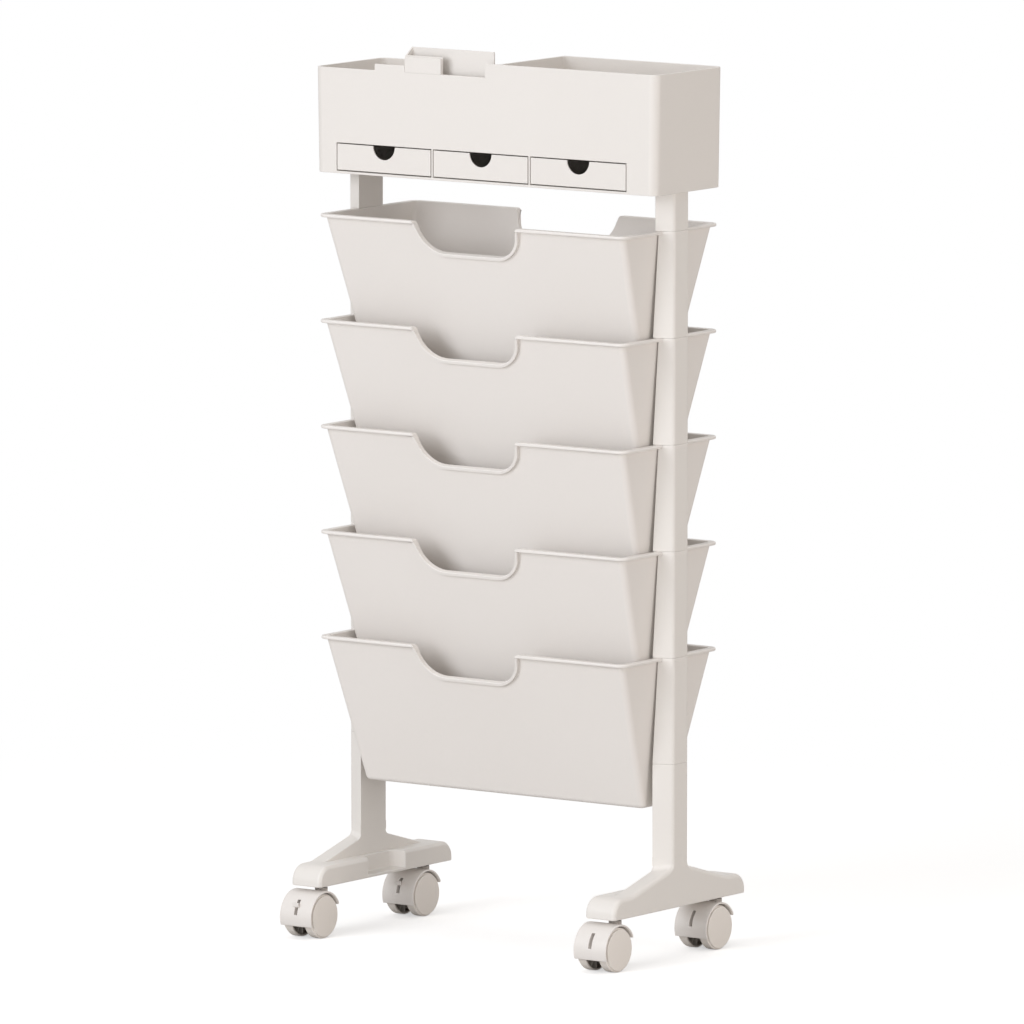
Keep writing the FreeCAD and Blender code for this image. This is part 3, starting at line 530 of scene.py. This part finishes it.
def softened(node, width, foot=None, ends=None, flush=None):
    # a copy of a node with its edges broken: the outside of its foot and its other level ends by widths of
    # their own, and only by a hair where it lies flush with the next piece
    bm = mergedCopy(node)
    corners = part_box(node)
    low = corners[0][2]
    centre = (Vector(corners[0]) + Vector(corners[1])) / 2

    def free(edge):
        if flush is None:
            return True
        if flush > low + mm:
            return all(vert.co.z < flush - 2 * slack for vert in edge.verts)
        return not atHeight(edge, flush)

    def level(edge):
        return abs(edge.verts[0].co.z - edge.verts[1].co.z) < slack

    def outside(edge):
        # one of its faces looks away from the middle of the piece
        arm = ((edge.verts[0].co + edge.verts[1].co) / 2 - centre).xy
        return any(face.normal.xy.dot(arm) > meshing["leaning"] * arm.length for face in edge.link_faces)

    if ends:
        breakEdges(bm, sharpEdges(bm, lambda edge: free(edge) and not level(edge)), width)
    if foot:
        breakEdges(bm, sharpEdges(bm, lambda edge: atHeight(edge, low) and outside(edge)), foot)
    breakEdges(bm, sharpEdges(bm, lambda edge: free(edge) and (level(edge) or not ends)), ends or width)
    if flush is not None:
        breakEdges(bm, sharpEdges(bm, lambda edge: not free(edge)), **roundings["flush"])
    bmesh.ops.recalc_face_normals(bm, faces=bm.faces)
    settle(node + "_moulded", bm, node)


def casterWheel(node):
    # a hollow ribbed wheel: a domed disc outside, a hub and ribs inside
    shape = {
        "inner": 8.6,                # along the axle, from the middle of the caster
        "step": 18.4,
        "outer": 21.0,
        "boreEnd": 17.1,
        "radius": 24.0,
        "cap": 22.5,
        "domeFrom": 0.55,            # share of the radius
        "dome": 0.5,
        "shoulder": 1.0,
        "chamfer": 0.5,
        "wall": 2.4,
        "hub": 6.2,
        "bore": 3.08,
        "ribs": 14,
        "ribThick": 1.2,
        "ribInset": 1.6,
        "ribSink": 0.6,              # how far a rib runs into the disc
        "ribRoot": 0.5,              # and into the hub and the tread
        "ribPaintedShade": 0.4,
        "steps": 72,
        "shoulderSteps": 4,
    }
    low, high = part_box(node)
    hoodLow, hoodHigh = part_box(node.rsplit("_", 2)[0] + "_caster_hood")
    middle = (hoodLow[0] + hoodHigh[0]) / 2
    side = 1 if low[0] + high[0] > middle * 2 else -1
    axle = Vector((middle, (low[1] + high[1]) / 2, (low[2] + high[2]) / 2))
    disc = shape["outer"] - shape["wall"]
    cavity = shape["radius"] - shape["wall"]
    profile = [(shape["boreEnd"], 0), (shape["boreEnd"], shape["bore"]), (shape["inner"], shape["bore"]),
               (shape["inner"], shape["hub"]), (disc, shape["hub"]), (disc, cavity), (shape["inner"], cavity),
               (shape["inner"], shape["radius"] - shape["chamfer"]),
               (shape["inner"] + shape["chamfer"], shape["radius"]),
               (shape["step"], shape["radius"]), (shape["step"], shape["cap"]),
               (shape["outer"] - shape["dome"], shape["cap"]),
               (shape["outer"], shape["radius"] * shape["domeFrom"]), (shape["outer"], 0)]
    bm = bmesh.new()
    trodden = bm.verts.layers.float.new("trodden")
    grime = bm.verts.layers.float.new("grime")
    bm.verts.layers.float.new("rubbed")
    spots = [bm.verts.new((along * mm, 0, radius * mm)) for along, radius in profile]
    wires = [bm.edges.new(pair) for pair in zip(spots, spots[1:])]
    bmesh.ops.spin(bm, geom=spots + wires, cent=(0, 0, 0), axis=(1, 0, 0), angle=math.tau, steps=shape["steps"],
                   use_merge=True)
    bmesh.ops.remove_doubles(bm, verts=bm.verts, dist=meshing["weld"])
    bmesh.ops.recalc_face_normals(bm, faces=bm.faces)

    def onRing(edge, along, radius):
        return all(abs(vert.co.x - along * mm) + abs(vert.co.yz.length - radius * mm) < slack / 10
                   for vert in edge.verts)

    shoulders = ((shape["outer"] - shape["dome"], shape["cap"]), (shape["step"], shape["radius"]))
    rim = [edge for edge in bm.edges for along, radius in shoulders if onRing(edge, along, radius)]
    breakEdges(bm, rim, shape["shoulder"], shape["shoulderSteps"])
    # the tread gets dust; the hollow inside, between disc and hub, gets painted shade, as it lies in shade under
    # the hood
    for vert in bm.verts:
        if vert.co.yz.length > shape["radius"] * mm - slack / 2:
            vert[trodden] = 1.0
        elif vert.co.x < disc * mm + slack and vert.co.yz.length < cavity * mm + slack:
            vert[grime] = 1.0
    span = cavity - shape["hub"] + 2 * shape["ribRoot"]
    deep = disc - shape["inner"] - shape["ribInset"] + shape["ribSink"]
    size = Matrix.Diagonal((deep * mm, shape["ribThick"] * mm, span * mm, 1))
    spot = Matrix.Translation(((disc + shape["ribSink"] - deep / 2) * mm, 0,
                               (shape["hub"] - shape["ribRoot"] + span / 2) * mm))
    rib = bmesh.ops.create_cube(bm, size=1, matrix=spot @ size)["verts"]
    # the ribs get a lighter painted shade
    for vert in rib:
        vert[grime] = shape["ribPaintedShade"]
    rib += list({face for vert in rib for face in vert.link_faces}) + list({e for v in rib for e in v.link_edges})
    turn = math.tau * (shape["ribs"] - 1) / shape["ribs"]
    bmesh.ops.spin(bm, geom=rib, cent=(0, 0, 0), axis=(1, 0, 0), angle=turn, steps=shape["ribs"] - 1,
                   use_duplicate=True)
    if side < 0:
        bmesh.ops.scale(bm, vec=(-1, 1, 1), verts=bm.verts)
        bmesh.ops.reverse_faces(bm, faces=bm.faces)
    bmesh.ops.translate(bm, vec=axle, verts=bm.verts)
    settle(node + "_ribbed", bm, node)


def casterHood(node):
    # a hood whose neck, round the stem, gets painted shade, as it lies in the shade under the foot
    shape = {"edge": 0.7, "neck": 7.35, "neckFrom": 44.0, "neckPaintedShade": 0.5}
    stemLow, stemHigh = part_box(node.replace("caster_hood", "caster_stem"))
    stem = Vector(((stemLow[0] + stemHigh[0]) / 2, (stemLow[1] + stemHigh[1]) / 2))
    bm = mergedCopy(node)
    breakEdges(bm, sharpEdges(bm), shape["edge"])
    grime = bm.verts.layers.float.new("grime")
    # painted shade on the neck round the stem
    for vert in bm.verts:
        if vert.co.z > shape["neckFrom"] * mm and (vert.co.xy - stem).length < shape["neck"] * mm:
            vert[grime] = shape["neckPaintedShade"]
    bmesh.ops.recalc_face_normals(bm, faces=bm.faces)
    settle(node + "_moulded", bm, node)


def toeLever(node):
    # a brake lever with its tread plate, which stands clear in front of the hood
    shape = {"edge": 0.4, "wide": 8.0, "high": 4.4, "thick": 1.4, "reach": 26.6, "rise": 14.3, "round": 0.5}
    low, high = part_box(node)
    wheelLow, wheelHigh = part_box(node.replace("brake_lever", "outer_wheel"))
    centre = [(start + end) / 2 for start, end in zip(wheelLow, wheelHigh)]
    spot = Vector(((low[0] + high[0]) / 2, centre[1] - shape["reach"] * mm, centre[2] + shape["rise"] * mm))
    size = Vector((shape["wide"], shape["thick"], shape["high"])) * mm
    bm = mergedCopy(node)
    breakEdges(bm, sharpEdges(bm), shape["edge"])
    place = Matrix.Translation(spot) @ Matrix.Diagonal((*size, 1))
    plate = bmesh.ops.create_cube(bm, size=1, matrix=place)["verts"]
    breakEdges(bm, list({edge for vert in plate for edge in vert.link_edges}), shape["round"])
    bmesh.ops.recalc_face_normals(bm, faces=bm.faces)
    settle(node + "_moulded", bm, node)


def smallDrawer(node):
    # a drawer whose front leaves a fine gap at its sides and below
    shape = {"edge": 0.5, "sideGap": 0.35, "footGap": 1.0}
    low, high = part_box(node)
    bm = mergedCopy(node)
    for vert in bm.verts:
        if vert.co.x < low[0] + slack:
            vert.co.x += shape["sideGap"] * mm
        elif vert.co.x > high[0] - slack:
            vert.co.x -= shape["sideGap"] * mm
        if vert.co.y < low[1] + slack and vert.co.z < low[2] + slack:
            vert.co.z += shape["footGap"] * mm
    breakEdges(bm, sharpEdges(bm), shape["edge"])
    bmesh.ops.recalc_face_normals(bm, faces=bm.faces)
    settle(node + "_moulded", bm, node)


bookBins()
print("bins moulded")
for node in frame["nodes"]:  # the stems and axles stay as they are
    if "segment" in node or "top_tube" in node:
        softened(node, **roundings["post"])
    elif node.endswith("_leg"):
        softened(node, **roundings["leg"], flush=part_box(node)[0][2])
    elif node.endswith("_foot"):
        softened(node, **roundings["foot"], flush=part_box(node.replace("foot", "leg"))[0][2])
    elif node == "organizer_body":
        softened(node, **roundings["organizer"])
    elif node == "phone_pocket":
        softened(node, **roundings["pocket"])
    elif node.endswith("drawer"):
        smallDrawer(node)
    elif node.endswith("hood"):
        casterHood(node)
    elif node.endswith("lever"):
        toeLever(node)
    elif node.endswith("wheel"):
        casterWheel(node)
print("posts, feet, organizer and casters moulded")
